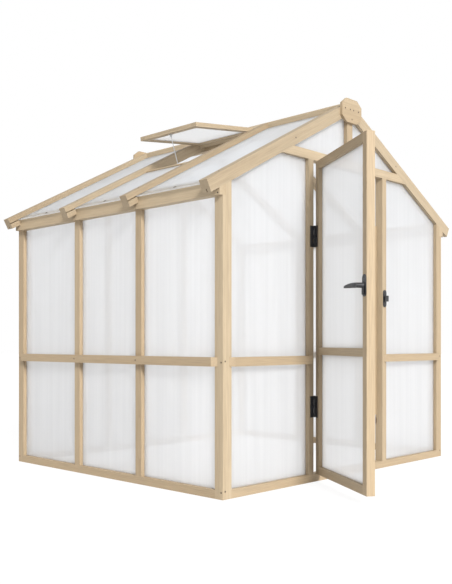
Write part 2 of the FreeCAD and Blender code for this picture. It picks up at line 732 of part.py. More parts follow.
# Vent stay: a rod that hangs on a bracket under the free rail, with its foot over a peg on the trimmer
bracket_s0 = vent_rails_s[1]
stay_pin_s = bracket_s0 + stay_bracket_long / 2
stay_pin_n = -vent_frame_thick - stay_pin_drop
ear_inner = stay_eye_thick / 2 + stay_ear_gap
ear_outer = ear_inner + stay_ear_thick
bracket = block(bracket_s0, bracket_s0 + stay_bracket_long, -stay_bracket_wide / 2, stay_bracket_wide / 2,
                -vent_frame_thick - stay_bracket_thick, -vent_frame_thick)
ear_s = (stay_pin_s - stay_eye_radius, stay_pin_s + stay_eye_radius)
for side in (-1, 1):
    ear_y = sorted((side * ear_inner, side * ear_outer))
    ear = block(*ear_s, *ear_y, stay_pin_n, -vent_frame_thick)
    ear_end = rod_y(stay_eye_radius, stay_pin_s, stay_pin_n, *ear_y)
    bracket = bracket.fuse([ear, ear_end])
stay_pin = rod_y(stay_pin_radius, stay_pin_s, stay_pin_n, -ear_outer, ear_outer)
add("stay_bracket", bracket.fuse(stay_pin).removeSplitter())

open_turn = math.radians(vent_open_angle)
reach_s = stay_pin_s - vent_pin_s
reach_n = stay_pin_n - vent_pin_n
top_s = vent_pin_s + reach_s * math.cos(open_turn) - reach_n * math.sin(open_turn)
top_n = vent_pin_n + reach_s * math.sin(open_turn) + reach_n * math.cos(open_turn)
foot_s = trimmer_start - stay_foot_clear - stay_foot_thick / 2
foot_n = -trimmer_drop - stay_foot_drop
stay_line = V(foot_s - top_s, 0, foot_n - top_n)
stay_long = stay_line.Length
stay_eye = rod_y(stay_eye_radius - stay_ear_gap, 0, 0, -stay_eye_thick / 2, stay_eye_thick / 2)
stay_neck = block(0, stay_neck_long, -stay_eye_thick / 2, stay_eye_thick / 2, -stay_radius, stay_radius)
rod_start = stay_neck_long - stay_radius
rod_end = stay_long - stay_foot_hole - stay_foot_thick / 2
stay_rod = Part.makeCylinder(stay_radius, rod_end - rod_start, V(rod_start, 0, 0), ALONG_X)
stay = stay_rod.fuse([stay_eye, stay_neck])
stay.Placement = FreeCAD.Placement(V(top_s, 0, top_n), FreeCAD.Rotation(ALONG_X, stay_line))
foot_face = V(foot_s - stay_foot_thick / 2, 0, foot_n)
foot = Part.makeCylinder(stay_foot_radius, stay_foot_thick, foot_face, ALONG_X)
stay = stay.fuse(foot)
eye_bore = rod_y(stay_pin_radius + running_gap, top_s, top_n, -stay_eye_thick, stay_eye_thick)
foot_bore = Part.makeCylinder(stay_foot_hole, stay_foot_thick, foot_face, ALONG_X)
add("vent_stay", on_left_slope(stay.cut([eye_bore, foot_bore]).removeSplitter()))
peg_shaft = Part.makeCylinder(peg_radius, peg_long - peg_radius, V(trimmer_start, 0, foot_n), V(-1, 0, 0))
peg_dome = Part.makeSphere(peg_radius, V(trimmer_start - peg_long + peg_radius, 0, foot_n))
peg_behind = block(trimmer_start, trimmer_end, -peg_long, peg_long, foot_n - peg_long, foot_n + peg_long)
peg_dome = peg_dome.cut(peg_behind)
add("stay_peg", on_left_slope(peg_shaft.fuse(peg_dome).removeSplitter()))


# Screws: a low domed head on the surface and a shank in its pilot hole
def screw(place, direction, long, head_radius=screw_head_radius, shank=screw_shank_radius):
    """A screw driven from place along direction, as its own solid and the hole that it needs."""
    outline = [V(0, 0, -screw_head_high), V(head_radius / 2, 0, -screw_head_high), V(head_radius, 0, 0),
               V(shank, 0, 0), V(shank, 0, long - shank), V(0, 0, long)]
    solid = Part.Face(Part.makePolygon(outline + outline[:1])).revolve(V(0, 0, 0), UP, 360)
    hole = Part.makeCylinder(shank + screw_pilot_gap, long + screw_pilot_gap)
    placement = FreeCAD.Placement(place, FreeCAD.Rotation(UP, direction))
    solid.Placement = placement
    hole.Placement = placement
    return solid, hole


def drive(name, screws, carriers):
    """Adds a group of screws and cuts their pilot holes."""
    nodes.setdefault(name, []).extend(solid for solid, _ in screws)
    for carrier in carriers:
        cut_node(carrier, [hole for _, hole in screws])


# Frame screws: corner joints, rails on the studs, gussets and the ends of the headers
corner_screws = []
for x_side in (-1, 1):
    for y_side in (-1, 1):
        for height in (sill_screw_height, rail_middle):
            inset_x = x_side * (half_w - gable_screw_inset)
            inset_y = y_side * (half_d - side_screw_inset)
            side_place = V(x_side * half_w, inset_y, height - corner_screw_stagger)
            end_place = V(inset_x, y_side * half_d, height + corner_screw_stagger)
            corner_screws.append(screw(side_place, V(-x_side, 0, 0), screw_long))
            corner_screws.append(screw(end_place, V(0, -y_side, 0), screw_long))
        eaves_y = y_side * (half_d - eaves_screw_inset)
        eaves_place = V(x_side * plate_outer, eaves_y, plate_bottom + eaves_screw_rise)
        corner_screws.append(screw(eaves_place, V(-x_side, 0, 0), screw_long))
drive("frame_screws", corner_screws, posts + ["front_sill", "rear_sill", "side_sills", "side_mid_rails",
                                              "front_mid_rails", "rear_mid_rail", "wall_plates"])
rail_screws = []
for x_side in (-1, 1):
    for y_side in (-1, 1):
        place = V(x_side * (half_w + rail_proud), y_side * stud_offset, rail_middle)
        rail_screws.append(screw(place, V(-x_side, 0, 0), screw_long))
    rear_place = V(x_side * (door_post_inner + door_post_wide / 2), half_d + rail_proud, rail_middle)
    rail_screws.append(screw(rear_place, V(0, -1, 0), screw_long))
drive("frame_screws", rail_screws, ["side_mid_rails", "side_wall_studs", "rear_mid_rail", "rear_wall_studs"])
gusset_screws = []
header_screws = []
gusset_places = [(x, apex_z - gusset_row_drop) for x in (-gusset_screw_outer, -gusset_screw_inner,
                                                         gusset_screw_inner, gusset_screw_outer)]
gusset_places.append((0, apex_z - gusset_low_drop))
header_screw_x = high_x - header_screw_inset
header_screw_z = roof_line(header_screw_x, rafter_deep / 2)
for y_side in (-1, 1):
    for x, z in gusset_places:
        place = V(x, y_side * (half_d + gusset_thick), z)
        gusset_screws.append(screw(place, V(0, -y_side, 0), gusset_screw_long))
    for x_side in (-1, 1):
        place = V(x_side * header_screw_x, y_side * half_d, header_screw_z)
        header_screws.append(screw(place, V(0, -y_side, 0), header_screw_long))
drive("frame_screws", gusset_screws + header_screws,
      ["ridge_gussets", "ridge_beam", "king_posts", "left_end_rafters", "right_end_rafters"])

# Roof screws: through each rafter and each sheet into the wall plate
roof_screws = []
sheet_screws = []
washers = []
screw_s = half_w / math.cos(slope)
sheet_screw_x = plate_outer - sheet_screw_inset
sheet_screw_s = (sheet_screw_x + roof_sheet_drop * math.sin(slope)) / math.cos(slope)
into_roof = on_right_slope(Part.Vertex(0, 0, -1)).Point - V(0, 0, apex_z)
for y in (-end_rafter_y, -stud_offset, stud_offset, end_rafter_y):
    roof_screws.append(screw(on_right_slope(Part.Vertex(screw_s, y, 0)).Point, into_roof, rafter_screw_long))
for y0, y1 in roof_bays:
    low_seat = on_right_slope(Part.Vertex(sheet_screw_s, (y0 + y1) / 2, -roof_sheet_drop)).Point
    top_seat = low_seat - into_roof * washer_thick
    sheet_screws.append(screw(top_seat, into_roof, sheet_screw_long))
    disc = Part.makeCylinder(washer_radius, washer_thick, low_seat, into_roof * -1)
    washers.append(disc.cut(sheet_screws[-1][1]))
roof_screws += [(half_turn(solid), half_turn(hole)) for solid, hole in roof_screws]
sheet_screws += [(half_turn(solid), half_turn(hole)) for solid, hole in sheet_screws]
add("roof_washers", *washers, *[half_turn(disc) for disc in washers])
drive("roof_screws", roof_screws + sheet_screws,
      ["left_end_rafters", "right_end_rafters", "left_common_rafters", "right_common_rafters",
       "left_roof_sheets", "right_roof_sheets", "wall_plates", "side_wall_studs"] + posts)

# Hardware screws of the hinges, the keeper and the handle plate
leaf_screw_offset = leaf_edge + hinge_leaf_wide / 2
leaf_face = door_face - hinge_leaf_thick
post_hardware = []
door_hardware = []
for z_middle in hinge_heights:
    for step in (-1, 0, 1):
        z = z_middle + step * hinge_screw_spacing
        post_place = V(pin_x - leaf_screw_offset, leaf_face, z)
        door_place = V(pin_x + leaf_screw_offset, leaf_face, z)
        post_hardware.append(screw(post_place, ALONG_Y, hardware_screw_long, hardware_head_radius))
        door_hardware.append(screw(door_place, ALONG_Y, hardware_screw_long, hardware_head_radius))
for side in (-1, 1):
    keeper_place = V(keeper_x, keeper_base, latch_height + side * keeper_screw_spacing / 2)
    plate_place = V(spindle_x, plate_face, latch_height + side * plate_screw_spacing / 2)
    post_hardware.append(screw(keeper_place, ALONG_Y, hardware_screw_long, hardware_head_radius))
    door_hardware.append(screw(plate_place, ALONG_Y, hardware_screw_long, hardware_head_radius))
drive("post_hardware_screws", post_hardware,
      ["hinge_post_leaves", "hinge_post", "latch_keeper", "latch_post"])
drive("door_hardware_screws", door_hardware,
      ["hinge_door_leaves", "door_hinge_stile", "handle_plate", "door_latch_stile"])

# The open rest pose of the door and the vent
for name in list(door_parts) + ["door_sheets", "hinge_door_leaves", "handle_plate", "handle_lever",
                                "door_hardware_screws"]:
    nodes[name] = [swing(solid) for solid in nodes[name]]
for name in ["vent_side_rails", "vent_hinge_side_rail", "vent_free_rail", "vent_sheet", "vent_moving_leaves",
             "stay_bracket"]:
    nodes[name] = [lift(solid) for solid in nodes[name]]

# One file for each node
os.makedirs("parts", exist_ok=True)
for name, shapes in nodes.items():
    solids = [solid for shape in shapes for solid in shape.Solids]
    sound = all(solid.isValid() and solid.Volume > 0 for solid in solids)
    whole = solids[0] if len(solids) == 1 else Part.makeCompound(solids)
    whole.exportStep("parts/" + name + ".step")
    print(name, len(shapes), len(solids), "sound" if sound else "NOT SOUND", round(whole.Volume / 1000))
print(len(nodes), "nodes")


def world(s, n):
    """A place on the left slope in metres, as the record states it."""
    place = on_left_slope(Part.Vertex(s, 0, n)).Point
    return [round(value / 1000, 6) for value in place]


latch_axis = swing(Part.Vertex(pin_x, pin_y - 1, 0)).Point - V(pin_x, pin_y, 0)
latch_place = swing(Part.Vertex(spindle_x, door_face, latch_height)).Point
print("door pin", pin_x, pin_y)
print("latch place", latch_place, "axis", latch_axis)
print("vent pin", world(vent_pin_s, vent_pin_n), "stay pin", world(top_s, top_n))
local_s = stay_line.x * math.cos(open_turn) + stay_line.z * math.sin(open_turn)
local_n = -stay_line.x * math.sin(open_turn) + stay_line.z * math.cos(open_turn)
print("stay angle under the vent", math.degrees(math.atan2(-local_n, -local_s)), "length", stay_line.Length)
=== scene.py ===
# %% [markdown]
# # A walk-in greenhouse
# The real house is a softwood frame glazed with milky twin-wall sheets. The timbers, hinges and latch come
# finished in shape from the construction model, so this notebook gives them their wood and paint, and makes
# the pieces that only the eye needs: fluted sheets and screw heads with their cross recess.
# Everything is in metres, in the model's own frame: +Z up, the door's gable towards -Y, the vent towards -X.

# %% Load the frame
import json
import math

import bmesh
import bpy
import numpy as np
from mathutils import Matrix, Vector


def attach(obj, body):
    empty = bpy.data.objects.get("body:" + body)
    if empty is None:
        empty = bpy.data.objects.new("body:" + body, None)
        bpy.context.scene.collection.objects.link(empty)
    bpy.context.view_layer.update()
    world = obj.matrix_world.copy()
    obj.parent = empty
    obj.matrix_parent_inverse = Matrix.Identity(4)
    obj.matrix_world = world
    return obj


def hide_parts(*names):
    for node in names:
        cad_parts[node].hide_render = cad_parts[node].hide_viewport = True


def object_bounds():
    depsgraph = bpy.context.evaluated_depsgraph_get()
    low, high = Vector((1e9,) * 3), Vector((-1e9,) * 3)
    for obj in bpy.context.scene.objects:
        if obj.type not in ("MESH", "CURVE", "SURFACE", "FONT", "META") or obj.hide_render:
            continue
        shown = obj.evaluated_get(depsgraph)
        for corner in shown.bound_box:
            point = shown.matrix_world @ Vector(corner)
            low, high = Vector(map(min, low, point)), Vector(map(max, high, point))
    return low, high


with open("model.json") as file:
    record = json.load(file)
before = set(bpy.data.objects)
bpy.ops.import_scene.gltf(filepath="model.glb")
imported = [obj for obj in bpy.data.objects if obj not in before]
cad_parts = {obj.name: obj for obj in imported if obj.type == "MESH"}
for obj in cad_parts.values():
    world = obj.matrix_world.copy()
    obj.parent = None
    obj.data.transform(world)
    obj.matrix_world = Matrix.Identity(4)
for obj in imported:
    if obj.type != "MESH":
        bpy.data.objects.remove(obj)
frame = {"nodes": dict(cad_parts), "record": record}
cad_low, cad_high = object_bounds()
nodes = frame["nodes"]
joints = {joint["name"]: joint for joint in frame["record"]["behaviour"]["joints"]}
scene = bpy.context.scene
print("loaded", len(nodes), "nodes; the box runs from", tuple(cad_low), "to", tuple(cad_high))

# %% [markdown]
# ## Camera
# The picture was taken from the front left corner with the camera held level. A level camera keeps the posts
# upright, and a vertical lens shift puts the horizon below the middle of the frame. The lens is found from the
# field of view: the focal length in pixels times the sensor's 36 mm over the 584 pixels of the long side.

# %% Place the camera
picture_high = 584
focal_pixels = 797.7
horizon_row = 342.2
sensor_mm = 36.0
eye = Vector((-3.625, -3.428, 0.727))
heading = math.radians(-45.97)

camera_data = bpy.data.cameras.new("camera")
camera_data.sensor_width = sensor_mm
camera_data.lens = focal_pixels * sensor_mm / picture_high
camera_data.shift_y = (horizon_row - picture_high / 2) / picture_high
camera = bpy.data.objects.new("camera", camera_data)
camera.location = eye
camera.rotation_euler = (math.radians(90), 0, heading)
scene.collection.objects.link(camera)
bpy.context.scene.camera = camera
print("lens %.1f mm, shift %.3f" % (camera_data.lens, camera_data.shift_y))

# %% [markdown]
# ## Helpers for node trees
# A material is a graph of nodes, and so is the sky. These helpers make a node, set its plain values and join its
# sockets, so that each finish below reads as a short list of what feeds what. Noise seldom leaves the middle of its
# range, so the spans listed first pick out the part of it that a finish uses.

# %% Node helpers
noise_narrow = (0.35, 0.65)
noise_middle = (0.3, 0.7)
noise_wide = (0.25, 0.75)
noise_widest = (0.2, 0.8)
white = (1.0, 1.0, 1.0, 1.0)


def feed(tree, socket, value):
    """Links a value that is a socket to this socket, and sets any other value on it."""
    if isinstance(value, bpy.types.NodeSocket):
        tree.links.new(value, socket)
    else:
        socket.default_value = value


def put(tree, kind, **values):
    """A new node of this kind. Each value goes to the input of that name, or of that number for i0, i1 and i2."""
    node = tree.nodes.new("ShaderNode" + kind)
    for name, value in values.items():
        numbered = name[0] == "i" and name[1:].isdigit()
        feed(tree, node.inputs[int(name[1:]) if numbered else name], value)
    return node


def math_node(tree, operation, first, second=0.0):
    """The result of a Math node."""
    node = put(tree, "Math", i0=first, i1=second)
    node.operation = operation
    return node.outputs[0]


def vector_node(tree, operation, first, second=(0, 0, 0), third=(0, 0, 0)):
    """A VectorMath node, whose results are Vector and Value."""
    node = put(tree, "VectorMath", i0=first, i1=second, i2=third)
    node.operation = operation
    return node


def span(tree, value, low, high, to_low=0.0, to_high=1.0):
    """value moved smoothly from the span low..high to the span to_low..to_high."""
    limits = {"From Min": low, "From Max": high, "To Min": to_low, "To Max": to_high}
    node = put(tree, "MapRange", Value=value, **limits)
    node.interpolation_type = "SMOOTHSTEP"
    return node.outputs["Result"]


def by_ray(tree, other_rays, camera_rays):
    """One value where the camera looks straight at a surface, and another for all other rays."""
    looked_at = put(tree, "LightPath").outputs["Is Camera Ray"]
    limits = {"To Min": other_rays, "To Max": camera_rays}
    return put(tree, "MapRange", Value=looked_at, **limits).outputs["Result"]


def mix_colour(tree, factor, first, second, blend="MIX"):
    """The result of a Mix node for colours, whose inputs are numbers 0, 6 and 7 and whose output is number 2."""
    node = tree.nodes.new("ShaderNodeMix")
    node.data_type = "RGBA"
    node.blend_type = blend
    for index, value in ((0, factor), (6, first), (7, second)):
        feed(tree, node.inputs[index], value)
    return node.outputs[2]


print("node helpers ready")

# %% [markdown]
# ## Groups and finishes
# Wood grain and metal wear are used by several finishes, so each is a node group that is built once and placed in
# every material that needs it. A finish is a material around one Principled shader.


# %% Group and finish helpers
def group(name, inputs, outputs):
    """A new shader node group with these sockets, each a (name, kind, default)."""
    tree = bpy.data.node_groups.new(name, "ShaderNodeTree")
    for label, kind, default in inputs:
        socket = tree.interface.new_socket(label, in_out="INPUT", socket_type="NodeSocket" + kind)
        if default is not None:
            socket.default_value = default
    for label, kind in outputs:
        tree.interface.new_socket(label, in_out="OUTPUT", socket_type="NodeSocket" + kind)
    return tree, tree.nodes.new("NodeGroupInput"), tree.nodes.new("NodeGroupOutput")


def use_group(tree, shared, **values):
    """Places a shared group in a tree, with values of its own."""
    node = tree.nodes.new("ShaderNodeGroup")
    node.node_tree = shared
    for name, value in values.items():
        feed(tree, node.inputs[name], value)
    return node


def new_finish(name):
    """A material with its tree and its Principled shader."""
    finish = bpy.data.materials.new(name)
    finish.use_nodes = True
    return finish, finish.node_tree, finish.node_tree.nodes["Principled BSDF"]


def dress(node, finish):
    """Gives a node's object this one finish."""
    mesh = nodes[node].data
    mesh.materials.clear()
    mesh.materials.append(finish)


print("group and finish helpers ready")

# %% [markdown]
# ## Light
# The key light stands in front, a little to the left. It comes almost along the open door, so the gable is
# bright, the side wall a tone lower, and the outside of the door stays in shade. A second light from the right
# shines through the sheets and makes them glow. Lights of the Sun kind with a wide angle act like large soft
# boxes, and their shadows have no hard edge. The sky is one even pale tone.

# %% Sky and two soft lights
sky_light = 0.61
sky_seen = 1.0


def soft_light(name, azimuth, elevation, strength, softness, colour):
    """A broad light from this many degrees left of the front and above the horizon."""
    data = bpy.data.lights.new(name, "SUN")
    data.energy = strength
    data.angle = math.radians(softness)
    data.color = colour
    light = bpy.data.objects.new(name, data)
    turn = math.radians(azimuth)
    lift = math.radians(elevation)
    towards = Vector((-math.sin(turn) * math.cos(lift), -math.cos(turn) * math.cos(lift), math.sin(lift)))
    light.rotation_mode = "QUATERNION"
    light.rotation_quaternion = towards.to_track_quat("Z", "Y")
    scene.collection.objects.link(light)


scene.view_settings.view_transform = "Standard"
scene.view_settings.look = "None"
soft_light("key", azimuth=23.5, elevation=31, strength=4.4, softness=16, colour=(1.0, 0.995, 0.985))
soft_light("side", azimuth=-95, elevation=14, strength=0.85, softness=40, colour=(1.0, 1.0, 1.0))
world = bpy.data.worlds.new("pale sky")
world.use_nodes = True
scene.world = world
sky = world.node_tree
feed(sky, sky.nodes["Background"].inputs["Color"], white)
feed(sky, sky.nodes["Background"].inputs["Strength"], by_ray(sky, sky_light, sky_seen))
print("two soft lights and a sky of", sky_light)

# %% [markdown]
# ## Floor
# A white studio floor melts into the background. Where the camera looks at it, most of its white is its own glow
# and a small part is light that falls on it, so only a faint shade shows where the house stands. To the
# other rays it is a plain grey floor, which sends a little light back up.

# %% Floor
floor_half = 40.0
floor_drop = 0.0005
floor_grey = 0.76
floor_seen = 0.10
floor_glow = 0.90
floor_rough = 0.9
floor_shine = 0.1

floor_mesh = bpy.data.meshes.new("floor")
corners = floor_half * np.array([[-1, -1, 0], [1, -1, 0], [1, 1, 0], [-1, 1, 0]], float)
floor_mesh.from_pydata(corners.tolist(), [], [[0, 1, 2, 3]])
floor = bpy.data.objects.new("floor", floor_mesh)
floor.location.z = cad_low.z - floor_drop
scene.collection.objects.link(floor)
floor_finish, floor_tree, paint = new_finish("floor")
floor_looks = {
    "Roughness": floor_rough,
    "Specular IOR Level": floor_shine,
    "Base Color": by_ray(floor_tree, floor_grey, floor_seen),
    "Emission Color": white,
    "Emission Strength": by_ray(floor_tree, 0.0, floor_glow)}
for socket, value in floor_looks.items():
    feed(floor_tree, paint.inputs[socket], value)
floor_mesh.materials.append(floor_finish)
print("floor at", floor.location.z)

# %% [markdown]
# ## Softwood
# Planed fir is pale cream with fine straight lines, because each board is a slice through many growth rings.
# The grain group works in a board's own frame, with Z along the board. Rings are distances from a pith that lies
# outside the board, bent a little by slow noise, and fibres are noise drawn out along the board. A few small
# knots come from stretched Voronoi cells. Slow noise across the house gives each board its own tone.

# %% The grain group
# Each pace is how fast a pattern changes per metre, across the board and along it
bend_pace = (6.0, 0.9)
tone_pace = (3.7, 0.25)
ring_pace = (60.0, 1.2)
fibre_pace = (420.0, 9.0)
knot_pace = (5.0, 1.7)
bend_size = 0.03
ring_spacing = 0.0032
ring_lean = 0.012
ring_edge = 3.0
to_pith = (0.317, 0.271, 0.0)
knot_rim, knot_heart = 0.055, 0.02
knot_soft = 0.05

grain, grain_in, grain_out = group(
    "timber grain",
    [("Vector", "Vector", None), ("Ring spacing", "Float", ring_spacing), ("Knots", "Float", 1.0)],
    [("Rings", "Float"), ("Fibres", "Float"), ("Tone", "Float"), ("Knot", "Float")])
board = grain_in.outputs["Vector"]


def stretched(pace):
    """The board's coordinates times the pace across it, again across it, and along it."""
    across, along = pace
    return vector_node(grain, "MULTIPLY", board, (across, across, along)).outputs["Vector"]


def board_noise(pace, detail):
    """Noise drawn out along the board."""
    return put(grain, "TexNoise", Vector=stretched(pace), Scale=1.0, Detail=detail)


bend = board_noise(bend_pace, 2.0).outputs["Color"]
bent = vector_node(grain, "MULTIPLY_ADD", bend, (bend_size, bend_size, 0.0), board).outputs["Vector"]
flat = vector_node(grain, "MULTIPLY", bent, (1.0, 1.0, ring_lean)).outputs["Vector"]
from_pith = vector_node(grain, "ADD", flat, to_pith).outputs["Vector"]
radius = vector_node(grain, "LENGTH", from_pith).outputs["Value"]
year = math_node(grain, "FRACT", math_node(grain, "DIVIDE", radius, grain_in.outputs["Ring spacing"]))
late_wood = math_node(grain, "POWER", year, ring_edge)
ring_strength = span(grain, board_noise(ring_pace, 2.0).outputs["Fac"], *noise_narrow)
knot_cells = put(grain, "TexVoronoi", Vector=stretched(knot_pace), Scale=1.0)
knot_cells.feature = "SMOOTH_F1"
feed(grain, knot_cells.inputs["Smoothness"], knot_soft)
knot = span(grain, knot_cells.outputs["Distance"], knot_rim, knot_heart)
patterns = {
    "Rings": math_node(grain, "MULTIPLY", late_wood, ring_strength),
    "Fibres": board_noise(fibre_pace, 3.0).outputs["Fac"],
    "Tone": board_noise(tone_pace, 1.0).outputs["Fac"],
    "Knot": math_node(grain, "MULTIPLY", knot, grain_in.outputs["Knots"])}
for label, value in patterns.items():
    feed(grain, grain_out.inputs[label], value)
print("grain group with", len(grain.nodes), "nodes")

# %% [markdown]
# ## Wood colour
# The finish mixes two creams by the slow tone, then darkens them by rings, fibres and knots. Fibres also roughen
# and lift the surface, because a plane leaves them slightly proud. A Mapping node turns the object's coordinates
# until the board lies along Z, where the grain group expects it.

# %% Wood finish
pale_wood = (0.436, 0.346, 0.232, 1)
warm_wood = (0.368, 0.278, 0.175, 1)
ring_wood = (0.300, 0.217, 0.130, 1)
knot_wood = (0.14, 0.083, 0.044, 1)
tone_span = (0.38, 0.62)
ring_share = 0.80
fibre_dark, fibre_light = 0.86, 1.10
wood_rough = (0.52, 0.70)
fibre_strength = 0.25
fibre_height = 0.0006


def wood_finish(name, along, tone_and_painted_light):
    """Wood with grain along this direction, its colour times a factor for tone, painted shade and painted light.

    Colour = tone between two creams, darkened by late-wood rings, fibres and knots; fibres also roughen
    and lift the surface.
    """
    finish, tree, shader = new_finish(name)
    to_z = Vector(along).rotation_difference(Vector((0, 0, 1))).to_euler()
    turned = put(tree, "Mapping", Vector=put(tree, "TexCoord").outputs["Object"], Rotation=to_z)
    lines = use_group(tree, grain, Vector=turned.outputs[0]).outputs
    base = mix_colour(tree, span(tree, lines["Tone"], *tone_span), pale_wood, warm_wood)
    base = mix_colour(tree, math_node(tree, "MULTIPLY", lines["Rings"], ring_share), base, ring_wood)
    # Fibres scale with the factor, so some boards' painted shade and painted light ride on them.
    shade = span(tree, lines["Fibres"], *noise_wide, fibre_dark * tone_and_painted_light, fibre_light * tone_and_painted_light)
    grey = put(tree, "CombineColor", i0=shade, i1=shade, i2=shade).outputs[0]
    base = mix_colour(tree, 1.0, base, grey, "MULTIPLY")
    feed(tree, shader.inputs["Base Color"], mix_colour(tree, lines["Knot"], base, knot_wood))
    feed(tree, shader.inputs["Roughness"], span(tree, lines["Fibres"], *noise_widest, *wood_rough))
    relief = put(tree, "Bump", Strength=fibre_strength, Distance=fibre_height, Height=lines["Fibres"])
    feed(tree, shader.inputs["Normal"], relief.outputs[0])
    return finish


print("wood finish ready")

# %% [markdown]
# ## Boards lie seven ways
# Grain runs along each board, so the wood finish is made once for each direction that boards take, and once more
# for the boards at the door's hinges, darkened as painted shade for the open door's shade, and for its latch stile,
# lightened as painted light for the key light on its free edge. Both slopes' rafters are darkened as painted shade.
# The door's and the vent's directions follow from how far their joints stand open.

# %% Wood on the boards
roof_pitch = math.radians(28)
vent_pitch = roof_pitch + math.radians(joints["vent_hinge"]["range_deg"][0])
door_turn = -math.radians(joints["door_hinge"]["range_deg"][1])
along_x = (1, 0, 0)
along_y = (0, 1, 0)
up = (0, 0, 1)
up_left_slope = (math.cos(roof_pitch), 0, math.sin(roof_pitch))
up_right_slope = (-math.cos(roof_pitch), 0, math.sin(roof_pitch))
up_vent = (math.cos(vent_pitch), 0, math.sin(vent_pitch))
across_door = (math.cos(door_turn), math.sin(door_turn), 0)

# Each finish: the direction of its grain, its factor of tone and painted light, and its boards
boards = {
    "wood upright": (up, 1.0, [
        "corner_post_front_left", "corner_post_front_right", "corner_post_rear_left", "corner_post_rear_right",
        "side_wall_studs", "rear_wall_studs", "latch_post", "door_stop", "king_posts"]),
    # Painted shade: the hinge post and hinge stile are darkened to stand in for the open door's shade.
    "wood hinge side, painted shade": (up, 0.82, ["hinge_post", "door_hinge_stile"]),
    # Painted light: the latch stile is lightened to stand in for the key light on its free edge.
    "wood latch stile, painted light": (up, 1.12, ["door_latch_stile"]),
    "wood across": (along_x, 1.0, [
        "front_sill", "rear_sill", "door_header", "rear_tie", "front_mid_rails", "rear_mid_rail",
        "ridge_gussets"]),
    "wood along": (along_y, 1.02, [
        "side_sills", "side_mid_rails", "wall_plates", "ridge_beam", "vent_hinge_rail", "vent_trimmer",
        "vent_hinge_side_rail", "vent_free_rail"]),
    # Painted shade: the rafters of both slopes are darkened to stand in for shade.
    "wood left slope, painted shade": (up_left_slope, 0.86, ["left_end_rafters", "left_common_rafters"]),
    "wood right slope, painted shade": (up_right_slope, 0.92, ["right_end_rafters", "right_common_rafters"]),
    "wood vent": (up_vent, 0.95, ["vent_side_rails"]),
    "wood door": (across_door, 0.97, ["door_top_rail", "door_mid_rail", "door_bottom_rail"])}
for finish_name, (along, tone_and_painted_light, names) in boards.items():
    finish = wood_finish(finish_name, along, tone_and_painted_light)
    for name in names:
        dress(name, finish)
print("wood on", sum(len(names) for along, tone_and_painted_light, names in boards.values()), "nodes")

# %% [markdown]
# ## Milky sheets
# A twin-wall sheet is two thin skins with webs between them. It scatters light both ways: part comes back, part
# goes through as a soft glow, and part passes straight, so timbers behind it show as faint bands. A Principled,
# a Translucent and a Transparent shader make up that mix. Frosted glass would blur those bands, but it needs
# many more samples. The webs are faint stripes at whole numbers of the sheet's own UV, and slow streaks run
# along them. The roof's, the door's and the vent's sheets stand in more light from behind, so their whites are
# painted a shade greyer, a painted shade that keeps them from glowing more than the walls.

# %% Sheet finish
sheet_white = (0.90, 0.905, 0.915, 1)
streak_white = (0.74, 0.747, 0.76, 1)
web_white = (0.60, 0.607, 0.62, 1)
glow_white = (0.96, 0.965, 0.975, 1)
glow_share = 0.80
clear_share = 0.32
web_half = 0.10
streak_pace = (0.45, 0.6, 0.0)
cloud_pace = 9.0
sheet_rough = (0.34, 0.46)


def sheet_finish(name, shade):
    """Milky plastic, its whites times this shade: painted shade wherever it is below white.

    Diffuse, translucent and clear, with webs where u is a whole number and streaks along v.
    """
    finish, tree, shader = new_finish(name)
    clean, streaked, webbed, glowing = (
        tuple(np.multiply(tone, shade)) for tone in (sheet_white, streak_white, web_white, glow_white))
    place = put(tree, "UVMap").outputs["UV"]
    u = put(tree, "SeparateXYZ", i0=place).outputs[0]
    drawn = vector_node(tree, "MULTIPLY", place, streak_pace).outputs["Vector"]
    streak = put(tree, "TexNoise", Vector=drawn, Scale=1.0, Detail=2.0).outputs["Fac"]
    web = span(tree, math_node(tree, "PINGPONG", u, 0.5), web_half, 0.0)
    base = mix_colour(tree, span(tree, streak, *noise_narrow), clean, streaked)
    feed(tree, shader.inputs["Base Color"], mix_colour(tree, web, base, webbed))
    spot = put(tree, "TexCoord").outputs["Object"]
    cloud = put(tree, "TexNoise", Vector=spot, Scale=cloud_pace, Detail=2.0).outputs["Fac"]
    feed(tree, shader.inputs["Roughness"], span(tree, cloud, *noise_middle, *sheet_rough))
    glow = put(tree, "BsdfTranslucent", Color=glowing)
    clear = put(tree, "BsdfTransparent")
    scattered = put(tree, "MixShader", i0=glow_share, i1=shader.outputs[0], i2=glow.outputs[0])
    sheer = put(tree, "MixShader", i0=clear_share, i1=scattered.outputs[0], i2=clear.outputs[0])
    feed(tree, tree.nodes["Material Output"].inputs["Surface"], sheer.outputs[0])
    return finish


milky = sheet_finish("milky sheet", white)
# Painted shade: the roof's, door's and vent's sheets have greyed whites standing in for shade.
painted_shade_roof = sheet_finish("milky roof sheet with painted shade", (0.925, 0.94, 0.955, 1.0))
painted_shade_door = sheet_finish("milky door sheet with painted shade", (0.87, 0.87, 0.87, 1.0))
painted_shade_vent = sheet_finish("milky vent sheet with painted shade", (0.80, 0.80, 0.80, 1.0))
print("sheet finish with", len(milky.node_tree.nodes), "nodes")

# %% [markdown]
# ## Finding each sheet in the frame
# A node can hold several solids. Triangles that share a corner belong to the same solid, so each corner takes the
# lowest label among its triangles until nothing changes. Each solid then gives its own corners.


# %% Split a node into its solids
def corner_numbers(mesh):
    """The corner numbers of all faces, one face after another."""
    used = np.empty(len(mesh.loops), int)
    mesh.loops.foreach_get("vertex_index", used)
    return used


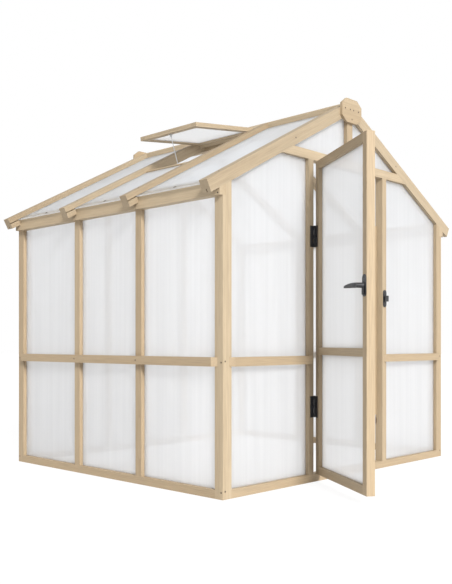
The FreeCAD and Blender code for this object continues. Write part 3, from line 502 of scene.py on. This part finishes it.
def solids_of(node):
    """The corners of each solid: every corner takes the lowest label of its triangles until all agree."""
    mesh = nodes[node].data
    places = np.empty(3 * len(mesh.vertices))
    mesh.vertices.foreach_get("co", places)
    places, same = np.unique(places.reshape(-1, 3).round(6), axis=0, return_inverse=True)
    triangles = same.ravel()[corner_numbers(mesh)].reshape(-1, 3)
    labels = np.arange(len(places))
    while True:
        lowest = labels.copy()
        np.minimum.at(lowest, triangles, labels[triangles].min(axis=1)[:, None])
        if (lowest == labels).all():
            break
        labels = lowest
    return [places[labels == label] for label in np.unique(labels)]


print("the side walls hold", len(solids_of("side_wall_sheets")), "sheets")

# %% [markdown]
# ## From arrays to a piece
# A sheet and a screw are both a closed ring of corners carried along a line, so they share one rule for their faces.
# The surfaces of a node are joined into one mesh. Its faces are turned outwards and shaded smooth, apart from edges
# that are sharper than a set angle.

# %% Make a piece
sharp_edge = math.radians(35)


def wrapped(rows, columns):
    """Faces of a closed surface: four-cornered walls between rows that close on themselves, and the two ends."""
    index = np.arange(rows * columns).reshape(rows, columns)
    ahead = np.roll(index, -1, axis=1)
    walls = np.stack([index[:-1], ahead[:-1], ahead[1:], index[1:]], -1).reshape(-1, 4)
    return walls, index[[0, -1]]


def joined(surfaces):
    """Corners and faces of several surfaces as one, each numbered on from those before it."""
    places, faces, count = [], [], 0
    for corners, walls, ends in surfaces:
        places.append(corners)
        faces += (walls + count).tolist() + (ends + count).tolist()
        count += len(corners)
    return np.concatenate(places), faces


def new_piece(name, places, faces, body, finish, replaced):
    """A mesh from corners and faces that rides on a body and stands for a node."""
    mesh = bpy.data.meshes.new(name)
    mesh.from_pydata(places.tolist(), [], faces)
    shell = bmesh.new()
    shell.from_mesh(mesh)
    bmesh.ops.recalc_face_normals(shell, faces=shell.faces)
    shell.to_mesh(mesh)
    shell.free()
    mesh.shade_smooth()
    mesh.set_sharp_from_angle(angle=sharp_edge)
    mesh.materials.append(finish)
    piece = bpy.data.objects.new(name, mesh)
    scene.collection.objects.link(piece)
    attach(piece, body)
    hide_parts(replaced)
    return piece


print("piece helpers ready")

# %% [markdown]
# ## Fluted sheets
# Between its webs each skin sinks by a fraction of a millimetre, which is what gives these sheets their fine
# upright lines. A sheet is a four-cornered profile, from the foot of the front skin round to the foot
# of the back skin, carried across the sheet. At each step the outline's foot and head come from its corners, so
# the same function makes rectangles and gable ends.

# %% The surface of a sheet
flute_pitch = 0.0105
flute_dip = 0.00022
flute_steps = 6
tiny = 1e-6


def edge_line(across, along, at, pick):
    """Foot or head of a convex outline: the least or greatest of all lines between two of its corners."""
    first, second = np.triu_indices(len(across), 1)
    slanted = np.abs(across[second] - across[first]) > tiny
    first, second = first[slanted], second[slanted]
    share = (at[None, :] - across[first][:, None]) / (across[second] - across[first])[:, None]
    line = along[first][:, None] + share * (along[second] - along[first])[:, None]
    outside = (share < -tiny) | (share > 1 + tiny)
    return pick(np.where(outside, np.nan, line), axis=0)


def fluted_sheet(solid, across, along):
    """Corners, walls, ends and UVs of one sheet.

    Each skin lies at its flat face less the dip times half of one minus the cosine of its place in the flute;
    u counts flutes and v is the height.
    """
    out = np.cross(across, along)
    a, b, n = solid @ across, solid @ along, solid @ out
    wide = a.max() - a.min()
    flutes = max(1, round(wide / flute_pitch))
    u = np.linspace(0, flutes, flutes * flute_steps + 1)
    at = a.min() + wide * u / flutes
    foot = edge_line(a, b, at, np.nanmin)
    head = edge_line(a, b, at, np.nanmax)
    dip = flute_dip * (1 - np.cos(2 * np.pi * u)) / 2
    front, back = n.max() - dip, n.min() + dip
    heights = np.stack([foot, head, head, foot], 1)
    levels = np.stack([front, front, back, back], 1)
    places = at[:, None, None] * across + heights[..., None] * along + levels[..., None] * out
    uv = np.stack([np.repeat(u, 4), heights.ravel()], 1)
    return places.reshape(-1, 3), *wrapped(len(u), 4), uv


print("flutes of %.1f mm" % (1000 * flute_pitch))

# %% [markdown]
# ## A piece for each node of sheets
# Each node's sheets lie in one direction, so one call makes them all. The UVs are set per face corner, and the finish
# reads them to place its webs.


# %% Make the fluted sheets
def fluted_piece(node, body, across, along, finish):
    """All the sheets of a node as one piece."""
    across, along = np.array(across, float), np.array(along, float)
    sheets = [fluted_sheet(solid, across, along) for solid in solids_of(node)]
    places, faces = joined([sheet[:3] for sheet in sheets])
    uv = np.concatenate([sheet[3] for sheet in sheets])
    piece = new_piece("fluted_" + node, places, faces, body, finish, node)
    layer = piece.data.uv_layers.new(name="flutes")
    layer.data.foreach_set("uv", uv[corner_numbers(piece.data)].ravel())
    return piece


sheet_ways = {
    "side_wall_sheets": ("frame", along_y, up, milky),
    "front_wall_sheets": ("frame", along_x, up, milky),
    "rear_wall_sheets": ("frame", along_x, up, milky),
    "gable_sheets": ("frame", along_x, up, milky),
    "left_roof_sheets": ("frame", along_y, up_left_slope, painted_shade_roof),
    "right_roof_sheets": ("frame", along_y, up_right_slope, painted_shade_roof),
    "door_sheets": ("door", across_door, up, painted_shade_door),
    "vent_sheet": ("vent", along_y, up_vent, painted_shade_vent)}
for node, (body, across, along, finish) in sheet_ways.items():
    piece = fluted_piece(node, body, across, along, finish)
    print(piece.name, len(piece.data.polygons), "faces")

# %% [markdown]
# ## Metal
# The hinges, lever and keeper are painted satin black, the screws and their washers are dark, and the stay is zinc.
# One group gives all three their unevenness: a slow mottle and a fine speckle.

# %% Metal finishes
speckle_pace = 14.0
speckle_strength = 0.15
speckle_height = 0.0002

wear, wear_in, wear_out = group(
    "metal wear", [("Vector", "Vector", None), ("Scale", "Float", 60.0)], [("Mottle", "Float"), ("Speckle", "Float")])
wear_place, wear_scale = wear_in.outputs["Vector"], wear_in.outputs["Scale"]
fine_scale = math_node(wear, "MULTIPLY", wear_scale, speckle_pace)
mottle = put(wear, "TexNoise", Vector=wear_place, Scale=wear_scale, Detail=3.0)
speckle = put(wear, "TexNoise", Vector=wear_place, Scale=fine_scale, Detail=1.0)
feed(wear, wear_out.inputs["Mottle"], mottle.outputs["Fac"])
feed(wear, wear_out.inputs["Speckle"], speckle.outputs["Fac"])


def metal_finish(name, colour, worn_colour, rough, metallic, scale):
    """Metal whose colour and gloss wander between two values with the mottle, with speckle as relief."""
    finish, tree, shader = new_finish(name)
    marks = use_group(tree, wear, Vector=put(tree, "TexCoord").outputs["Object"], Scale=scale).outputs
    patch = span(tree, marks["Mottle"], *noise_narrow)
    feed(tree, shader.inputs["Base Color"], mix_colour(tree, patch, colour, worn_colour))
    feed(tree, shader.inputs["Roughness"], span(tree, marks["Mottle"], *noise_middle, *rough))
    relief = put(tree, "Bump", Strength=speckle_strength, Distance=speckle_height, Height=marks["Speckle"])
    feed(tree, shader.inputs["Normal"], relief.outputs[0])
    feed(tree, shader.inputs["Metallic"], metallic)
    return finish


black_paint = metal_finish("black paint", (0.014, 0.014, 0.016, 1), (0.03, 0.03, 0.032, 1),
                           rough=(0.36, 0.50), metallic=0.0, scale=45.0)
dark_screw = metal_finish("dark screw", (0.13, 0.10, 0.07, 1), (0.08, 0.062, 0.045, 1),
                          rough=(0.38, 0.55), metallic=0.6, scale=160.0)
zinc = metal_finish("zinc", (0.70, 0.70, 0.70, 1), (0.58, 0.59, 0.60, 1),
                    rough=(0.28, 0.42), metallic=1.0, scale=120.0)
metals = {
    black_paint: ["hinge_post_leaves", "hinge_door_leaves", "hinge_pins", "handle_plate", "handle_lever",
                  "latch_keeper", "vent_fixed_leaves", "vent_moving_leaves", "vent_hinge_pins", "stay_peg"],
    dark_screw: ["roof_washers"],
    zinc: ["vent_stay", "stay_bracket"]}
for finish, names in metals.items():
    for name in names:
        dress(name, finish)
print("metal on", sum(len(names) for names in metals.values()), "nodes")

# %% [markdown]
# ## Screw heads
# Each screw is one closed surface of rings round its axis, from the middle of the head to the tip. The head is a low
# dome, and the cross recess is where the dome sinks along two crossing bars. The axis comes from the solid itself:
# the direction in which its corners spread most. Rings and angles make a grid, so numpy builds all corners at once.

# %% The surface of a screw
screw_angles = 48
head_rings = 14
head_clear = 0.003
shank_share = 0.9
middle_share = 0.02
# The recess, in head radii: half width and length of its bars, how softly they end, and its depth
bar_half, bar_long = 0.13, 0.62
side_soft, end_soft = 0.1, 0.15
recess_share = 0.7
# A direction that no screw lies along
off_axis = (0.36, 0.48, 0.8)


def screw_axis(solid):
    """Tip and axis of a screw: the direction in which its corners spread most, from the tip to the head."""
    centre = solid.mean(axis=0)
    axis = np.linalg.svd(solid - centre)[2][0]
    tip = solid[np.argmax(np.linalg.norm(solid - centre, axis=1))]
    return tip, axis if (centre - tip) @ axis > 0 else -axis


def falls(value, middle, soft):
    """1 below the middle, 0 above it, with a straight fall of this softness."""
    return np.clip(0.5 - (value - middle) / soft, 0, 1)


def cross_recess(x, y):
    """1 within two crossing bars and 0 outside them: the greater of one bar along y and one along x."""
    upright = falls(x, bar_half, side_soft) * falls(y, bar_long, end_soft)
    level = falls(y, bar_half, side_soft) * falls(x, bar_long, end_soft)
    return np.maximum(upright, level)


def screw_surface(solid):
    """Corners, walls and ends of one screw.

    Head: height times one minus the squared radius, less the recess along the bars, down to the rim. Then the
    shank's two ends and the tip follow as further rings.
    """
    tip, axis = screw_axis(solid)
    level = (solid - tip) @ axis
    reach = np.linalg.norm(solid - tip - level[:, None] * axis, axis=1)
    rim, top = level[np.argmax(reach)], level.max()
    shank = reach[level < rim - head_clear].max()
    shank_end = level[reach > shank * shank_share].min()
    side = np.cross(axis, off_axis)
    side = side / np.linalg.norm(side)
    other = np.cross(axis, side)
    angle = np.linspace(0, 2 * np.pi, screw_angles, endpoint=False)
    r = np.linspace(middle_share, 1, head_rings)[:, None]
    bars = cross_recess(np.abs(r * np.cos(angle)), np.abs(r * np.sin(angle)))
    head = rim + (top - rim) * (1 - r ** 2 - recess_share * bars * (1 - r ** 2))
    below = np.repeat([[rim], [shank_end], [0.0]], screw_angles, axis=1)
    levels = np.concatenate([head, below])
    radii = np.concatenate([r[:, 0] * reach.max(), [shank, shank, shank * middle_share]])
    round_axis = np.cos(angle)[:, None] * side + np.sin(angle)[:, None] * other
    places = tip + radii[:, None, None] * round_axis + levels[..., None] * axis
    return places.reshape(-1, 3), *wrapped(len(radii), screw_angles)


print("screws of", screw_angles, "angles and", head_rings, "rings in the head")

# %% [markdown]
# ## A piece for each node of screws
# The screws of a node share a body and a finish, so they become one piece as well. Those of the hinges, the lever's
# plate and the keeper are painted like them.

# %% Make the screws
screw_nodes = {
    "frame_screws": ("frame", "dark_screws", dark_screw),
    "roof_screws": ("frame", "dark_screws", dark_screw),
    "post_hardware_screws": ("frame", "black_hardware", black_paint),
    "door_hardware_screws": ("door", "black_hardware", black_paint)}
for node, (body, slot, finish) in screw_nodes.items():
    screws = [screw_surface(solid) for solid in solids_of(node)]
    places, faces = joined(screws)
    piece = new_piece("crossed_" + node, places, faces, body, finish, node)
    print(piece.name, len(screws), "screws,", len(faces), "faces")
